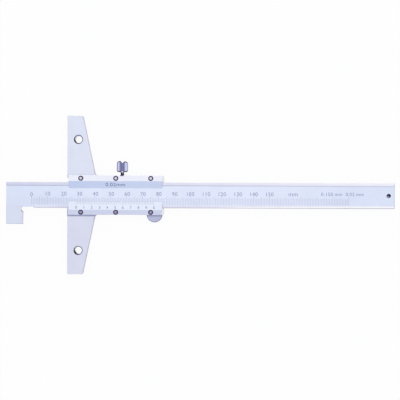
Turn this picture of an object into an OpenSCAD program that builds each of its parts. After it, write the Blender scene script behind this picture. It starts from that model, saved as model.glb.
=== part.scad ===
// Vernier depth gauge with a hooked beam, lying on its back.
// +X runs along the beam away from the hook, +Y across it, +Z up through the front faces.
// Everything is laid out from the base's measuring face at x = 0, then moved so that the
// origin is the middle of the whole gauge, on the surface that it lies on.

/* [Reading] */
// Depth that the gauge shows, from the hook's inner face to the base
reading = 28; // [0:0.5:150]

/* [Beam] */
// Length of the beam, hook included
beam_l = 245; // [236:1:280]
// Width of the beam
beam_w = 16.3; // [15.5:0.1:16.8]
// Thickness of the beam
beam_t = 3.5; // [3:0.1:4.2]
// Width of the raised rail along the upper edge
upper_rail_w = 2; // [1.5:0.1:2.6]
// Width of the raised rail along the lower edge
lower_rail_w = 1.7; // [1.2:0.1:2.2]
// Depth of the scale field below the rails
field_depth = 0.25; // [0.1:0.05:0.5]
// Width of the slope between a rail and the scale field
field_slope = 0.35; // [0.1:0.05:0.6]
// Bevel along the beam's edges
beam_bevel = 0.3; // [0.1:0.05:0.4]
// Diameter of the hole near the beam's free end
hang_hole_d = 2.2; // [1.6:0.1:4]
// Countersink of that hole
hang_hole_bevel = 0.3; // [0.1:0.05:0.5]
// Distance from that hole to the beam's free end
hang_hole_inset = 3.8; // [3:0.1:8]

/* [Hook] */
// Width of the hook along the beam
hook_w = 10.5; // [8:0.5:14]
// How far the hook reaches below the beam
hook_drop = 10.2; // [7:0.1:14]
// Depth of the undercut behind the hook's inner face
undercut = 1.2; // [0.5:0.1:1.5]
// How far the undercut reaches below the beam's edge before it slopes out
undercut_drop = 1.5; // [0.5:0.1:2]
// Height of the slope from the undercut to the hook's inner face
undercut_slope = 1.5; // [1:0.1:2.5]
// Depth of the relief in the beam's edge beside the hook
relief_depth = 0.6; // [0.3:0.1:1]
// Length of that relief from the hook's inner face
relief_l = 7; // [4:0.5:9]

/* [Base] */
// Length of the base's measuring face
base_l = 100; // [80:5:130]
// Width of an arm at its tip
tip_w = 9.6; // [9:0.1:13]
// Width of an arm where it meets the slider frame
root_w = 17.5; // [15:0.1:24]
// Fillet between an arm and the slider frame
root_r = 1.9; // [0.5:0.1:3]
// Diameter of the holes for an extension base
arm_hole_d = 4.6; // [3:0.1:5.6]
// Distance between those two holes
arm_hole_pitch = 70; // [50:1:75]
// Distance from those holes to the measuring face
arm_hole_inset = 7; // [5:0.1:7.5]
// Countersink of those holes
arm_hole_bevel = 0.6; // [0.1:0.05:0.7]
// How far the middle of the base is set back from the measuring face
face_relief = 0.9; // [0.4:0.1:1.2]
// How far that set-back reaches above the beam
face_relief_rise = 2.9; // [1:0.1:3.5]
// Bevel along the edges of the base and the slider frame
body_bevel = 0.2; // [0.1:0.05:0.5]

/* [Slider frame] */
// Length of the slider frame
frame_l = 60.8; // [59.5:0.1:75]
// Height of the slider frame
frame_h = 25; // [24.6:0.1:28]
// Radius of the slider frame's free corners
frame_r = 1; // [0.4:0.1:2]
// Thickness of the wall behind the beam
back_wall = 2.2; // [1.4:0.1:3]
// Running clearance between the beam and the slider frame
slide_clearance = 0.06; // [0.03:0.01:0.1]
// Radius of the thumb rest
thumb_r = 5; // [4:0.1:6]
// Distance from the thumb rest's centre to the frame's end
thumb_inset = 5.8; // [5.5:0.1:10]
// How far the thumb rest's centre lies inside the frame's lower edge
thumb_rise = 0.3; // [0:0.1:2]
// How far the thumb rest is set back from the back face
thumb_back = 0.4; // [0.2:0.1:1]
// How far the thumb rest is set back from the front face
thumb_front = 1.1; // [0.6:0.1:2]
// Bevel round the thumb rest
thumb_bevel = 0.5; // [0.2:0.1:0.8]

/* [Plates] */
// How far the plates are set in from the ends of the frame
plate_inset = 0.95; // [0.5:0.05:1.5]
// Thickness of the plates under their screws
plate_t = 1.5; // [1.2:0.1:2]
// Width of the cover plate
cover_w = 8; // [7:0.1:8.5]
// Width of the flat strip of the cover plate
cover_flat_w = 3.7; // [3.3:0.05:3.8]
// Width of the vernier plate
vernier_w = 8.4; // [8:0.1:9]
// Width of the flat strip of the vernier plate
vernier_flat_w = 3.1; // [3:0.05:3.6]
// Thickness of the plates at their thin edge
plate_edge_t = 0.3; // [0.2:0.05:0.5]
// Bevel along the outer edges of the plates
plate_bevel = 0.15; // [0.1:0.05:0.35]

/* [Plate screws] */
// Distance between neighbouring screws
screw_pitch = 22; // [18:0.5:24]
// Distance from the middle screws to the frame's middle, along the beam
screw_offset = 0.3; // [0:0.1:1]
// Distance from the cover plate's screws to its outer edge
cover_screw_inset = 2; // [1.7:0.05:2.2]
// Distance from the vernier plate's screws to its outer edge
vernier_screw_inset = 1.65; // [1.65:0.05:2.2]
// Diameter of the screw heads
screw_head_d = 3.2; // [2.8:0.1:3.2]
// Diameter of the screw threads
screw_d = 2; // [1.6:0.1:2]
// Length of the screws below their heads
screw_l = 4.2; // [3:0.1:4.5]
// Height of the heads above the plates
screw_head_h = 0.5; // [0.3:0.05:0.7]
// Diameter of the flat on top of the heads, inside their rounded shoulder
screw_flat_d = 1.8; // [1.2:0.1:2.4]
// Depth of the conical seat of the heads
screw_seat_h = 0.6; // [0.4:0.05:0.7]
// Width of the driver slots
screw_slot_w = 0.4; // [0.3:0.05:0.7]
// Depth of the driver slots
screw_slot_h = 0.5; // [0.3:0.05:0.7]

/* [Lock screw] */
// Distance from the lock screw to the middle screw of the cover plate, along the beam
lock_offset = 3.9; // [3.5:0.05:7]
// Diameter of the stud
stud_d = 2.3; // [2:0.1:2.8]
// Width of the wing across both lobes
wing_w = 7.2; // [6.5:0.1:9]
// Height of the wing's lobes
wing_h = 7; // [6.5:0.1:9]
// Radius of each lobe
lobe_r = 1.3; // [0.9:0.05:1.5]
// Diameter of the wing's hub
hub_d = 3.1; // [3:0.05:3.4]
// Bevel at the hub's lower end
hub_bevel = 0.3; // [0.1:0.05:0.35]
// How far the hub lies below the tops of the lobes
hub_dip = 1; // [0.5:0.1:2]
// Thickness of the web between the lobes and the hub
web_t = 1.5; // [1:0.1:2]
// Gap between the wing and the frame
wing_gap = 2; // [1:0.1:4]
// Length of the stud inside the wing
stud_grip = 4; // [2:0.1:5]

/* [Leaf spring] */
// Length of the leaf spring
spring_l = 42; // [30:1:44]
// Thickness of the leaf spring
spring_t = 0.25; // [0.15:0.05:0.35]
// Width of the leaf spring
spring_w = 2.8; // [2:0.1:3]
// Height of the pocket above the beam that holds it
spring_gap = 0.95; // [0.7:0.05:1]

/* [Scales] */
// Distance from the main zero to the hook's face, and from the vernier zero to the base
zero_offset = 5.5; // [5:0.1:6]
// Last millimetre of the main scale
main_end = 200; // [150:10:200]
// Number of vernier divisions
vernier_divisions = 50; // [10:10:50]
// Length of the vernier scale
vernier_l = 49; // [39:1:49]
// Width of an engraved line
line_w = 0.12; // [0.08:0.01:0.2]
// Depth of an engraved line
line_depth = 0.05; // [0.03:0.01:0.1]
// Length of a millimetre line
line_1 = 4.2; // [3.5:0.1:4.5]
// Length of a five millimetre line
line_5 = 4.9; // [4.6:0.1:5]
// Length of a ten millimetre line
line_10 = 5.4; // [5.1:0.1:5.6]
// Length of a plain vernier line
vernier_line = 1.8; // [1.2:0.1:2]
// Length of a numbered vernier line
vernier_line_5 = 2.4; // [2.1:0.1:2.6]

/* [Hidden] */
$fn = 64;
// How far a cutting shape runs past the face that it cuts
overcut = 1;
// Flats that stand for a rounded corner, and for the domed top of a screw or a lobe
arc_steps = 6;
dome_steps = 8;
// Gap round a screw in its thread and round a head in its seat
fit_clearance = 0.02;
// Gap round a screw's thread where it passes through a plate
seat_clearance = 0.1;
// Gap between the leaf spring and what it bears on
spring_seat_gap = 0.05;
// Room past the leaf spring's ends
spring_end_gap = 1;
// Depth left free below the end of a screw
screw_end_gap = 0.5;
// Straight rim of a screw's head, and the bevels at the ends of the screws and the stud
screw_rim_h = 0.08;
screw_tip_bevel = 0.3;
stud_tip_bevel = 0.4;
// Angles that the driver slots stopped at, from left to right
cover_slot_turns = [30, -50, 65];
vernier_slot_turns = [55, 10, -35];
tip_corner_r = 0.5;
beam_corner_r = 0.5;
relief_corner_r = 0.6;

beam_x = -(reading + hook_w);
beam_z = back_wall + slide_clearance;
beam_top_z = beam_z + beam_t;
field_z = beam_t - field_depth;
field_hi = beam_w / 2 - upper_rail_w - field_slope;
field_lo = -beam_w / 2 + lower_rail_w + field_slope;
body_t = beam_top_z + slide_clearance;
plate_z = body_t;
screw_mid = frame_l / 2 + screw_offset;
lock_x = screw_mid + lock_offset;
half_h = frame_h / 2;
cover_screw_y = half_h - cover_screw_inset;
vernier_screw_y = -half_h + vernier_screw_inset;
lock_z = beam_z + beam_t / 2;
pocket_y = beam_w / 2 + spring_gap;
pocket_l = spring_l + 2 * spring_end_gap;
centre_x = beam_x + beam_l / 2;

// Unit vector from a to b
function heading(a, b) = (b - a) / norm(b - a);
function cross2(a, b) = a.x * b.y - a.y * b.x;

// Points of the arc of radius r that rounds the corner b between the edges from a and to c
function corner_arc(a, b, c, r) =
    let (u = heading(b, a), v = heading(b, c),
        half = acos(u * v) / 2,
        centre = b + (u + v) / norm(u + v) * r / sin(half),
        from = b + u * r / tan(half) - centre,
        to = b + v * r / tan(half) - centre,
        turn = 180 - 2 * half,
        way = cross2(from, to) > 0 ? 1 : -1)
    [for (i = [0:arc_steps])
        let (t = way * turn * i / arc_steps)
        centre + [from.x * cos(t) - from.y * sin(t), from.x * sin(t) + from.y * cos(t)]];

// Convex outline with its corners rounded
module rounded(r) {
    offset(r = r, $fn = 4 * arc_steps)
        offset(delta = -r)
            children();
}

// Slab of a convex outline with both of its rims bevelled, from z = 0 up
module slab(height, bevel) {
    hull() {
        linear_extrude(height)
            offset(delta = -bevel)
                children();
        translate([0, 0, bevel])
            linear_extrude(height - 2 * bevel)
                children();
    }
}

// Profile in y and z carried along x
module along_x(length) {
    rotate([90, 0, 90])
        linear_extrude(length)
            children();
}

// Straight bar with the hook at its left end
module beam_blank() {
    slab(beam_t, beam_bevel)
        rounded(beam_corner_r)
            translate([0, -beam_w / 2])
                square([beam_l, beam_w]);
    slab(beam_t, beam_bevel)
        rounded(beam_corner_r)
            translate([0, -beam_w / 2 - hook_drop])
                square([hook_w, beam_w + hook_drop - upper_rail_w]);
}

// Undercut behind the hook's inner face and relief along the beam's edge, through the thickness
module hook_relief() {
    lower = -beam_w / 2;
    foot = lower - undercut_drop;
    run_out = hook_w + relief_l;
    slope = [undercut, -undercut_slope];
    in_air = [run_out + overcut, lower - overcut];
    before = [run_out - relief_depth, lower + relief_depth];
    corner = [hook_w - undercut, lower + relief_depth];
    after = [hook_w - undercut, foot];
    translate([0, 0, -overcut])
        linear_extrude(beam_t + 2 * overcut)
            polygon(concat(
                [in_air, before],
                corner_arc(before, corner, after, relief_corner_r),
                [after, after + 2 * slope]
            ));
}

// The sunken field between the two rails, open at both ends
module scale_field() {
    translate([-overcut, 0, 0])
        along_x(beam_l + 2 * overcut)
            polygon([
                [field_lo, field_z],
                [field_hi, field_z],
                [field_hi + field_slope * (1 + overcut / field_depth), beam_t + overcut],
                [field_lo - field_slope * (1 + overcut / field_depth), beam_t + overcut]
            ]);
}

// Hole from z = 0 to z = depth with a countersink at both faces
module drilled_hole(d, bevel, depth) {
    translate([0, 0, -overcut])
        cylinder(d = d, h = depth + 2 * overcut);
    for (face = [0, 1])
        translate([0, 0, face * depth])
            mirror([0, 0, 1 - face])
                translate([0, 0, -bevel])
                    cylinder(d1 = d, d2 = d + 2 * (bevel + overcut), h = bevel + overcut);
}

module main_lines() {
    for (i = [0:main_end]) {
        length = i % 10 == 0 ? line_10 : i % 5 == 0 ? line_5 : line_1;
        translate([hook_w + zero_offset + i - line_w / 2, field_lo, field_z - line_depth])
            cube([line_w, length, line_depth + overcut]);
    }
}

module beam() {
    color("gainsboro")
        translate([beam_x, 0, beam_z])
            difference() {
                beam_blank();
                hook_relief();
                scale_field();
                main_lines();
                translate([beam_l - hang_hole_inset, 0, 0])
                    drilled_hole(hang_hole_d, hang_hole_bevel, field_z);
            }
}

// Fillet in the corner between an arm and the frame
module foot_fillet(side) {
    tip = [tip_w, side * base_l / 2];
    corner = [root_w, side * half_h];
    end = [frame_l, side * half_h];
    inside = corner - [root_r, side * root_r];
    translate([0, 0, body_bevel])
        linear_extrude(body_t - 2 * body_bevel)
            polygon(concat(corner_arc(tip, corner, end, root_r), [inside]));
}

// Base and slider frame in one piece
module body_blank() {
    slab(body_t, body_bevel)
        rounded(tip_corner_r)
            polygon([
                [0, base_l / 2],
                [tip_w, base_l / 2],
                [root_w, half_h],
                [root_w, -half_h],
                [tip_w, -base_l / 2],
                [0, -base_l / 2]
            ]);
    slab(body_t, body_bevel)
        rounded(frame_r)
            translate([root_w - frame_r - root_r, -half_h])
                square([frame_l - root_w + frame_r + root_r, frame_h]);
    for (side = [-1, 1])
        foot_fillet(side);
}

// Half-round rest under the frame, a little thinner than the frame itself
module thumb_rest() {
    thumb_t = body_t - thumb_back - thumb_front;
    translate([frame_l - thumb_inset, -half_h + thumb_rise, thumb_back])
        rotate_extrude()
            polygon([
                [0, 0],
                [thumb_r - thumb_bevel, 0],
                [thumb_r, thumb_bevel],
                [thumb_r, thumb_t - thumb_bevel],
                [thumb_r - thumb_bevel, thumb_t],
                [0, thumb_t]
            ]);
}

// Channel that the beam runs in, with the pocket for the leaf spring above it
module channel() {
    channel_w = beam_w + 2 * slide_clearance;
    translate([-overcut, -channel_w / 2, back_wall])
        cube([frame_l + 2 * overcut, channel_w, body_t]);
    translate([lock_x - pocket_l / 2, 0, back_wall])
        cube([pocket_l, pocket_y, body_t]);
}

// The middle of the base stands back from the measuring face, through its whole thickness
module face_set_back() {
    low = -beam_w / 2 - slide_clearance;
    high = beam_w / 2 + face_relief_rise;
    translate([0, 0, -overcut])
        linear_extrude(body_t + 2 * overcut)
            polygon([
                [-overcut, low],
                [face_relief, low],
                [face_relief, high - face_relief],
                [-overcut, high + overcut]
            ]);
}

module arm_hole(side) {
    translate([arm_hole_inset, side * arm_hole_pitch / 2, 0])
        drilled_hole(arm_hole_d, arm_hole_bevel, body_t);
}

module base_frame() {
    color("lightsteelblue")
        difference() {
            union() {
                body_blank();
                thumb_rest();
            }
            channel();
            face_set_back();
            for (side = [-1, 1])
                arm_hole(side);
            at_screws(cover_screw_y)
                thread_hole();
            at_screws(vernier_screw_y)
                thread_hole();
            translate([lock_x, half_h + overcut, lock_z])
                rotate([90, 0, 0])
                    cylinder(d = stud_d + 2 * fit_clearance, h = half_h + overcut - beam_w / 2);
        }
}

// Plate with a flat strip at its outer edge and a slope down to a thin inner edge.
// y runs from the outer edge inwards.
module plate(width, flat_w) {
    length = frame_l - 2 * plate_inset;
    difference() {
        translate([plate_inset, 0, plate_z])
            along_x(length)
                polygon([
                    [0, 0],
                    [width, 0],
                    [width, plate_edge_t],
                    [flat_w, plate_t],
                    [plate_bevel, plate_t],
                    [0, plate_t - plate_bevel]
                ]);
        for (end = [0, 1])
            translate([plate_inset + end * length, width / 2, plate_z + plate_t])
                rotate([90, 0, 0])
                    cylinder(r = plate_bevel, h = width + 2 * overcut, center = true, $fn = 4);
    }
}

module at_screws(y, turns = [0, 0, 0]) {
    for (i = [0:2])
        translate([screw_mid + (i - 1) * screw_pitch, y, plate_z + plate_t])
            rotate(turns[i])
                children();
}

module screw_seat() {
    cone_r = screw_head_d / 2 + fit_clearance;
    hole_r = screw_d / 2 + seat_clearance;
    translate([0, 0, -screw_seat_h - fit_clearance])
        cylinder(r1 = hole_r, r2 = cone_r, h = screw_seat_h + fit_clearance);
    translate([0, 0, -fit_clearance])
        cylinder(r = cone_r, h = overcut);
    translate([0, 0, -plate_t - overcut])
        cylinder(r = hole_r, h = plate_t + overcut);
}

module thread_hole() {
    depth = screw_l + screw_seat_h + screw_end_gap;
    translate([0, 0, -depth])
        cylinder(d = screw_d + 2 * fit_clearance, h = depth);
}

module cover_plate() {
    color("white")
        difference() {
            translate([0, half_h, 0])
                mirror([0, 1, 0])
                    plate(cover_w, cover_flat_w);
            at_screws(cover_screw_y)
                screw_seat();
        }
}

module vernier_lines() {
    slope = atan((plate_t - plate_edge_t) / (vernier_w - vernier_flat_w));
    for (i = [0:vernier_divisions]) {
        length = i % 5 == 0 ? vernier_line_5 : vernier_line;
        translate([zero_offset + i * vernier_l / vernier_divisions - line_w / 2,
            -half_h + vernier_w, plate_z + plate_edge_t])
            rotate([-slope, 0, 0])
                translate([0, -length, -line_depth])
                    cube([line_w, length + overcut, line_depth + overcut]);
    }
}

module vernier_plate() {
    color("aliceblue")
        difference() {
            translate([0, -half_h, 0])
                plate(vernier_w, vernier_flat_w);
            at_screws(vernier_screw_y)
                screw_seat();
            vernier_lines();
        }
}

// Slotted screw whose head has a rounded shoulder and a conical seat; its origin is on the plate's face
module plate_screw() {
    head_r = screw_head_d / 2;
    flat_r = screw_flat_d / 2;
    bottom = -screw_seat_h - screw_l;
    difference() {
        rotate_extrude()
            polygon(concat(
                [
                    [0, bottom],
                    [screw_d / 2 - screw_tip_bevel, bottom],
                    [screw_d / 2, bottom + screw_tip_bevel],
                    [screw_d / 2, -screw_seat_h],
                    [head_r, 0]
                ],
                [for (i = [0:dome_steps])
                    let (a = 90 * i / dome_steps)
                    [flat_r + (head_r - flat_r) * cos(a),
                        screw_rim_h + (screw_head_h - screw_rim_h) * sin(a)]],
                [[0, screw_head_h]]
            ));
        translate([-head_r - overcut, -screw_slot_w / 2, screw_head_h - screw_slot_h])
            cube([2 * (head_r + overcut), screw_slot_w, screw_slot_h + overcut]);
    }
}

module cover_plate_screws() {
    color("slategray")
        at_screws(cover_screw_y, cover_slot_turns)
            plate_screw();
}

module vernier_plate_screws() {
    color("slategray")
        at_screws(vernier_screw_y, vernier_slot_turns)
            plate_screw();
}

// Flat strip bowed so that its middle bears on the beam and its ends on the pocket's wall
module leaf_spring() {
    bow = spring_gap - spring_t - 2 * spring_seat_gap;
    bow_r = (spring_l * spring_l / 4 + bow * bow) / (2 * bow);
    half_angle = asin(spring_l / 2 / bow_r);
    color("goldenrod")
        translate([lock_x, beam_w / 2 + spring_seat_gap + bow_r + spring_t, lock_z - spring_w / 2])
            rotate([0, 0, -90 - half_angle])
                rotate_extrude(angle = 2 * half_angle)
                    translate([bow_r, 0])
                        square([spring_t, spring_w]);
}

// Round-ended bar on its own axis, from z = 0 to z = length
module lobe(length) {
    rotate_extrude()
        polygon(concat(
            [[0, 0]],
            [for (i = [1:dome_steps])
                let (a = 90 * i / dome_steps)
                [lobe_r * sin(a), lobe_r * (1 - cos(a))]],
            [for (i = [0:dome_steps - 1])
                let (a = 90 * i / dome_steps)
                [lobe_r * cos(a), length - lobe_r + lobe_r * sin(a)]],
            [[0, length]]
        ));
}

// Places its children on the lock screw's axis, z running out of the frame
module on_lock_axis() {
    translate([lock_x, half_h, lock_z])
        rotate([-90, 0, 0])
            children();
}

module lock_wing() {
    lobe_x = wing_w / 2 - lobe_r;
    hub_h = wing_h - hub_dip;
    color("silver")
        on_lock_axis()
            translate([0, 0, wing_gap])
                difference() {
                    union() {
                        for (side = [-1, 1])
                            translate([side * lobe_x, 0, 0])
                                lobe(wing_h);
                        cylinder(d1 = hub_d - 2 * hub_bevel, d2 = hub_d, h = hub_bevel);
                        translate([0, 0, hub_bevel])
                            cylinder(d = hub_d, h = hub_h - hub_bevel);
                        translate([-lobe_x, -web_t / 2, lobe_r / 2])
                            cube([2 * lobe_x, web_t, hub_h - lobe_r]);
                    }
                    translate([0, 0, -overcut])
                        cylinder(d = stud_d + 2 * fit_clearance, h = stud_grip + fit_clearance + overcut);
                }
}

module lock_stud() {
    tip = beam_w / 2 + 2 * spring_seat_gap + spring_t;
    reach = half_h - tip;
    color("dimgray")
        on_lock_axis()
            rotate_extrude()
                polygon([
                    [0, -reach],
                    [stud_d / 2 - stud_tip_bevel, -reach],
                    [stud_d / 2, stud_tip_bevel - reach],
                    [stud_d / 2, wing_gap + stud_grip],
                    [0, wing_gap + stud_grip]
                ]);
}

translate([-centre_x, 0, 0]) {
    beam();
    base_frame();
    cover_plate();
    vernier_plate();
    cover_plate_screws();
    vernier_plate_screws();
    leaf_spring();
    lock_wing();
    lock_stud();
}
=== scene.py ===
"""Vernier depth gauge with a hooked beam: finishes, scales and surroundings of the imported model.

Metres, in the part's own frame: +X runs along the beam away from the hook, +Y across it
towards the lock screw, +Z out of the graduated front. The back lies on z = 0.
"""

import math

import bpy
import numpy as np
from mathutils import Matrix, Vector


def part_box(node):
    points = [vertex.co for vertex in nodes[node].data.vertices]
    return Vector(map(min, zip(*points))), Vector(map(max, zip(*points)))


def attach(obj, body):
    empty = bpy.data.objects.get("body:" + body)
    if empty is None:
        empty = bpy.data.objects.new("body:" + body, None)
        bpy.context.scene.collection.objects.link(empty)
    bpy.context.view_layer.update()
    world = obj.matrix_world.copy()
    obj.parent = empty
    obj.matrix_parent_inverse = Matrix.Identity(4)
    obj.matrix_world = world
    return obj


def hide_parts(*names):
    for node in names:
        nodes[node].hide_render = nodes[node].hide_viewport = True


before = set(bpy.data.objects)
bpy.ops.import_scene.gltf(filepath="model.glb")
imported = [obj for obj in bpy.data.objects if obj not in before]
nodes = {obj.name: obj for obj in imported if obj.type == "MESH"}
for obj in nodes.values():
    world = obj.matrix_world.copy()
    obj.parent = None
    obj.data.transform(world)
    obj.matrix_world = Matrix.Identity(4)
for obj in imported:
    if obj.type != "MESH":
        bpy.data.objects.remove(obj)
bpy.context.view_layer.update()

MM = 0.001


# Camera
# It looks straight down on the gauge from 0.6 m. Its place and its small roll come from the
# ends of the beam and the tips of the base, given in pixels of the 400 pixel picture. The base
# stands in column 70 of it.

PICTURE_PX = 400
SENSOR_WIDTH_MM = 36.0
CAMERA_HEIGHT = 606 * MM
PX_PER_MM = 1.5865
BEAM_ENDS_PX = (5.81, 395.08)
BASE_TIPS_PX = (115.73, 274.01)
BASE_COLUMN_PX = 70.0
CAMERA_ROLL = math.radians(0.205)

focal_px = PX_PER_MM / MM * (CAMERA_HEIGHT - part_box("base_frame")[1].z)
middle_px = PICTURE_PX / 2
axis_px = sum(BASE_TIPS_PX) / 2 + (middle_px - BASE_COLUMN_PX) * math.tan(CAMERA_ROLL)

camera_data = bpy.data.cameras.new("camera")
camera_data.sensor_width = SENSOR_WIDTH_MM
camera_data.lens = focal_px * SENSOR_WIDTH_MM / PICTURE_PX
camera = bpy.data.objects.new("camera", camera_data)
camera.location = (
    (middle_px - sum(BEAM_ENDS_PX) / 2) / PX_PER_MM * MM,
    (axis_px - middle_px) / PX_PER_MM * MM,
    CAMERA_HEIGHT,
)
camera.rotation_euler = (0, 0, CAMERA_ROLL)
bpy.context.scene.collection.objects.link(camera)
bpy.context.scene.camera = camera


# Beam
# One bar of hardened stainless steel with the hook at its end. Its front is satin chromed and
# brushed along the beam, and the scale field lies a quarter of a millimetre below two rails.

BEAM_FIELD = "DCE4F9"
FIELD_WORN = "E2E9FD"
FIELD_BY_HOOK = "D9E1F6"
RAIL_AT_HOOK = "D4D6EB"
RAIL_AT_END = "F0F1FB"
RAIL_BY_HOOK = "E0E4F6"
RAIL_HIGHLIGHT = "FCFCFF"
BEAM_HOOK = "D9DFF2"
# Painted light and shade: the upper slope darker and the lower slope paler, the upper bevel bright
# as a highlight, the lower bevel and the end line darker as shade.
UPPER_SLOPE = ("C6CCE8", "E4E6F8")
LOWER_SLOPE = ("E6EBF8", "E8ECF8")
UPPER_BEVEL = ("ECECF8", "FFFFFF")
LOWER_BEVEL = ("D6D8EC", "A8ACC8")
END_LINE = "C6CEE4"
BEAM_WALL = "9A94B4"
LAPPED_FACE = "FAFAFF"
BORE_SHADED = "1C1830"
BORE_RIM = "A4A4C4"
# The hanging hole's bore is painted dark, as shade.
HANG_HOLE_WALL = "2C2C48"
HOOK_WIDTH = 10.5 * MM
BEAM_WIDTH = 16.3 * MM
UPPER_RAIL_WIDTH = 2.0 * MM
LOWER_RAIL_WIDTH = 1.7 * MM
FIELD_SLOPE = 0.35 * MM
END_LINE_WIDTH = 0.45 * MM
BAND_EDGE = 0.05 * MM
EDGE_MATT = 0.32
HANG_HOLE_RADIUS = 1.4 * MM
HANG_HOLE_INSET = 3.8 * MM
HANG_HOLE_SHADED_SIDE = (-0.8, -0.6)
FIELD_BY_HOOK_FADES = (60 * MM, 30 * MM)
FIELD_BY_HOOK_ACROSS = (1 * MM, -3 * MM)
WORN_FROM_LEFT_END = (27 * MM, 52 * MM)
WORN_FROM_RIGHT_END = (30 * MM, 62 * MM)
HOOK_TONE_ENDS = (7 * MM, 8 * MM)
RAIL_BY_HOOK_FADES = (15 * MM, 27 * MM)
RAIL_HIGHLIGHT_FROM_LEFT_END = (132 * MM, 152 * MM)
RAIL_HIGHLIGHT_ACROSS = (-7.1 * MM, -7.5 * MM)
BEVEL_TURNS = (0.62, 0.68)
CLOUD_SIZE = 9 * MM
STREAK_DEPTH = 0.02 * MM

beam_low, beam_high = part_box("beam")
field_low_y = -BEAM_WIDTH / 2 + LOWER_RAIL_WIDTH + FIELD_SLOPE
field_high_y = BEAM_WIDTH / 2 - UPPER_RAIL_WIDTH - FIELD_SLOPE


def srgb(code):
    """Linear RGBA of an sRGB hex colour.

    A channel c is c / 12.92 up to 0.04045 and ((c + 0.055) / 1.055) ** 2.4 above.
    """
    channels = np.array([int(code[i:i + 2], 16) for i in (0, 2, 4)]) / 255
    linear = np.where(channels > 0.04045, ((channels + 0.055) / 1.055) ** 2.4, channels / 12.92)
    return (*linear, 1.0)


def add(tree, kind, inputs={}, **settings):
    """Adds a node. inputs gives a socket its value, or the socket or node that feeds it.

    A node feeds it from its first output.
    """
    node = tree.nodes.new(kind)
    for key, value in settings.items():
        setattr(node, key, value)
    for key, value in inputs.items():
        if isinstance(value, bpy.types.Node):
            value = value.outputs[0]
        if isinstance(value, bpy.types.NodeSocket):
            tree.links.new(value, node.inputs[key])
        else:
            node.inputs[key].default_value = value
    return node


def new_material(name):
    """An empty material and its tree."""
    made = bpy.data.materials.new(name)
    made.use_nodes = True
    made.node_tree.nodes.clear()
    return made, made.node_tree


def paint(tree, under, over, *ramps):
    """The colour under, with the colour over it where every ramp is full.

    A ramp is (measure, start, end). It is 0 on the side of start, 1 on the side of end, and
    straight between them. Several ramps are multiplied.
    """
    share = 1.0
    for measure, start, end in ramps:
        ramp = add(tree, "ShaderNodeMapRange",
                   {"Value": measure, "From Min": start, "From Max": end})
        share = add(tree, "ShaderNodeMath", {0: share, 1: ramp}, operation="MULTIPLY")
    mixed = add(tree, "ShaderNodeMix", {0: share, 6: under, 7: over}, data_type="RGBA")
    return mixed.outputs[2]


def from_axis(tree, x, y):
    """Distance of a point from the upright axis through x and y."""
    place = tree.nodes.new("ShaderNodeTexCoord").outputs["Object"]
    flat = add(tree, "ShaderNodeVectorMath", {0: place, 1: (1, 1, 0)}, operation="MULTIPLY")
    away = add(tree, "ShaderNodeVectorMath", {0: flat, 1: (x, y, 0)}, operation="DISTANCE")
    return away.outputs["Value"]


def facing_up(tree):
    """1 where a surface lies flat, either way up, and 0 where it stands upright."""
    normal = tree.nodes.new("ShaderNodeTexCoord").outputs["Normal"]
    parts = add(tree, "ShaderNodeSeparateXYZ", {0: normal}).outputs
    return add(tree, "ShaderNodeMath", {0: parts["Z"]}, operation="ABSOLUTE")


def drilled(tree, surface, centre, radius, shaded_side, wall):
    """A surface's colour, with that of a drilled hole round the upright axis through centre.

    The countersink is painted in light and shade: black, as shade, where it faces along
    shaded_side, a horizontal direction, and grey elsewhere. The bore has the wall colour, but is
    painted as black, as shade, where it faces furthest that way.
    """
    up = facing_up(tree)
    normal = tree.nodes.new("ShaderNodeTexCoord").outputs["Normal"]
    turned = add(tree, "ShaderNodeVectorMath", {0: normal, 1: (*shaded_side, 0)},
                 operation="DOT_PRODUCT").outputs["Value"]
    # Painted shade and light: countersink and bore black on the shaded side, grey or the wall
    # colour on the lit side.
    rim = paint(tree, srgb(BORE_RIM), srgb(BORE_SHADED), (turned, 0.0, 0.6))
    deep = paint(tree, srgb(wall), srgb(BORE_SHADED), (turned, 0.75, 1.0))
    bore = paint(tree, deep, rim, (up, 0.3, 0.5))
    inside = (from_axis(tree, *centre), radius * 1.05, radius)
    return paint(tree, surface, bore, inside, (up, 0.95, 0.85))


def faces_and_walls(tree, face_colour, wall_colour):
    """The face's colour where a surface is flat or slopes, and the wall's where it is upright."""
    return paint(tree, wall_colour, face_colour, (facing_up(tree), 0.2, 0.7))


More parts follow.
